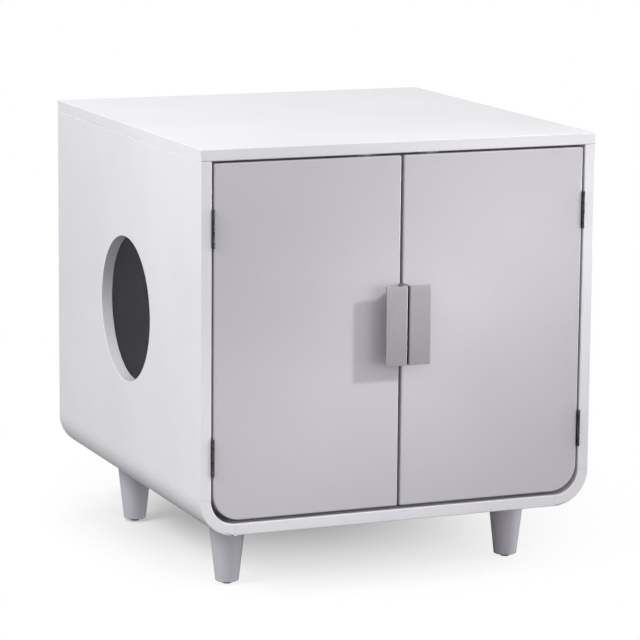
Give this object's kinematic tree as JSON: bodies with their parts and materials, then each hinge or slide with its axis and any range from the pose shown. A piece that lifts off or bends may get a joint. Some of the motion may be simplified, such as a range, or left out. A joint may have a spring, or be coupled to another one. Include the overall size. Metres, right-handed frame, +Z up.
{
  "type": "cat litter box cabinet",
  "caption": "Painted board cabinet on turned legs that hides a cat litter tray, with inset front doors, metal pull handles and a round cat doorway in one side.",
  "frame": {"origin": "middle of the overall box, on the floor", "axes": "+Z up, +Y from the doors to the back, +X to the right of someone facing the doors"},
  "size_m": [0.576, 0.625, 0.612],
  "materials": {
    "carcass_paint": "satin off-white paint on fibreboard",
    "door_paint": "satin pale lavender-grey paint on fibreboard",
    "leg_paint": "satin grey paint on turned wood",
    "brushed_nickel": "vertical brushed satin nickel",
    "hinge_steel": "bright plated pressed steel",
    "zinc_steel": "zinc plated steel",
    "glide_plastic": "matt moulded plastic",
    "catch_plastic": "matt moulded plastic"
  },
  "bodies": {
    "cabinet": {"top_panel": "carcass_paint", "left_side_panel": "carcass_paint", "right_side_panel": "carcass_paint", "left_corner_curve": "carcass_paint", "right_corner_curve": "carcass_paint", "bottom_panel": "carcass_paint", "back_panel": "carcass_paint", "front_left_leg": "leg_paint", "front_left_leg_bolt": "zinc_steel", "front_left_glide": "glide_plastic", "front_right_leg": "leg_paint", "front_right_leg_bolt": "zinc_steel", "front_right_glide": "glide_plastic", "back_left_leg": "leg_paint", "back_left_leg_bolt": "zinc_steel", "back_left_glide": "glide_plastic", "back_right_leg": "leg_paint", "back_right_leg_bolt": "zinc_steel", "back_right_glide": "glide_plastic", "left_magnetic_catch": "catch_plastic", "left_upper_hinge_frame_leaf": "hinge_steel", "left_upper_hinge_pin": "hinge_steel", "left_upper_hinge_frame_screw_1": "zinc_steel", "left_upper_hinge_frame_screw_2": "zinc_steel", "left_lower_hinge_frame_leaf": "hinge_steel", "left_lower_hinge_pin": "hinge_steel", "left_lower_hinge_frame_screw_1": "zinc_steel", "left_lower_hinge_frame_screw_2": "zinc_steel", "right_magnetic_catch": "catch_plastic", "right_upper_hinge_frame_leaf": "hinge_steel", "right_upper_hinge_pin": "hinge_steel", "right_upper_hinge_frame_screw_1": "zinc_steel", "right_upper_hinge_frame_screw_2": "zinc_steel", "right_lower_hinge_frame_leaf": "hinge_steel", "right_lower_hinge_pin": "hinge_steel", "right_lower_hinge_frame_screw_1": "zinc_steel", "right_lower_hinge_frame_screw_2": "zinc_steel"},
    "left_door": {"left_door": "door_paint", "left_handle": "brushed_nickel", "left_handle_screw_1": "zinc_steel", "left_handle_screw_2": "zinc_steel", "left_catch_plate": "zinc_steel", "left_upper_hinge_door_leaf": "hinge_steel", "left_upper_hinge_door_screw_1": "zinc_steel", "left_upper_hinge_door_screw_2": "zinc_steel", "left_lower_hinge_door_leaf": "hinge_steel", "left_lower_hinge_door_screw_1": "zinc_steel", "left_lower_hinge_door_screw_2": "zinc_steel"},
    "right_door": {"right_door": "door_paint", "right_handle": "brushed_nickel", "right_handle_screw_1": "zinc_steel", "right_handle_screw_2": "zinc_steel", "right_catch_plate": "zinc_steel", "right_upper_hinge_door_leaf": "hinge_steel", "right_upper_hinge_door_screw_1": "zinc_steel", "right_upper_hinge_door_screw_2": "zinc_steel", "right_lower_hinge_door_leaf": "hinge_steel", "right_lower_hinge_door_screw_1": "zinc_steel", "right_lower_hinge_door_screw_2": "zinc_steel"}
  },
  "joints": [
    {"name": "left_door_swing", "type": "hinge", "parent": "cabinet", "child": "left_door", "pos_m": [-0.2705, -0.2897, 0.352], "axis": [0, 0, -1], "range_deg": [0, 175]},
    {"name": "right_door_swing", "type": "hinge", "parent": "cabinet", "child": "right_door", "pos_m": [0.2705, -0.2897, 0.352], "axis": [0, 0, 1], "range_deg": [0, 175]}
  ]
}
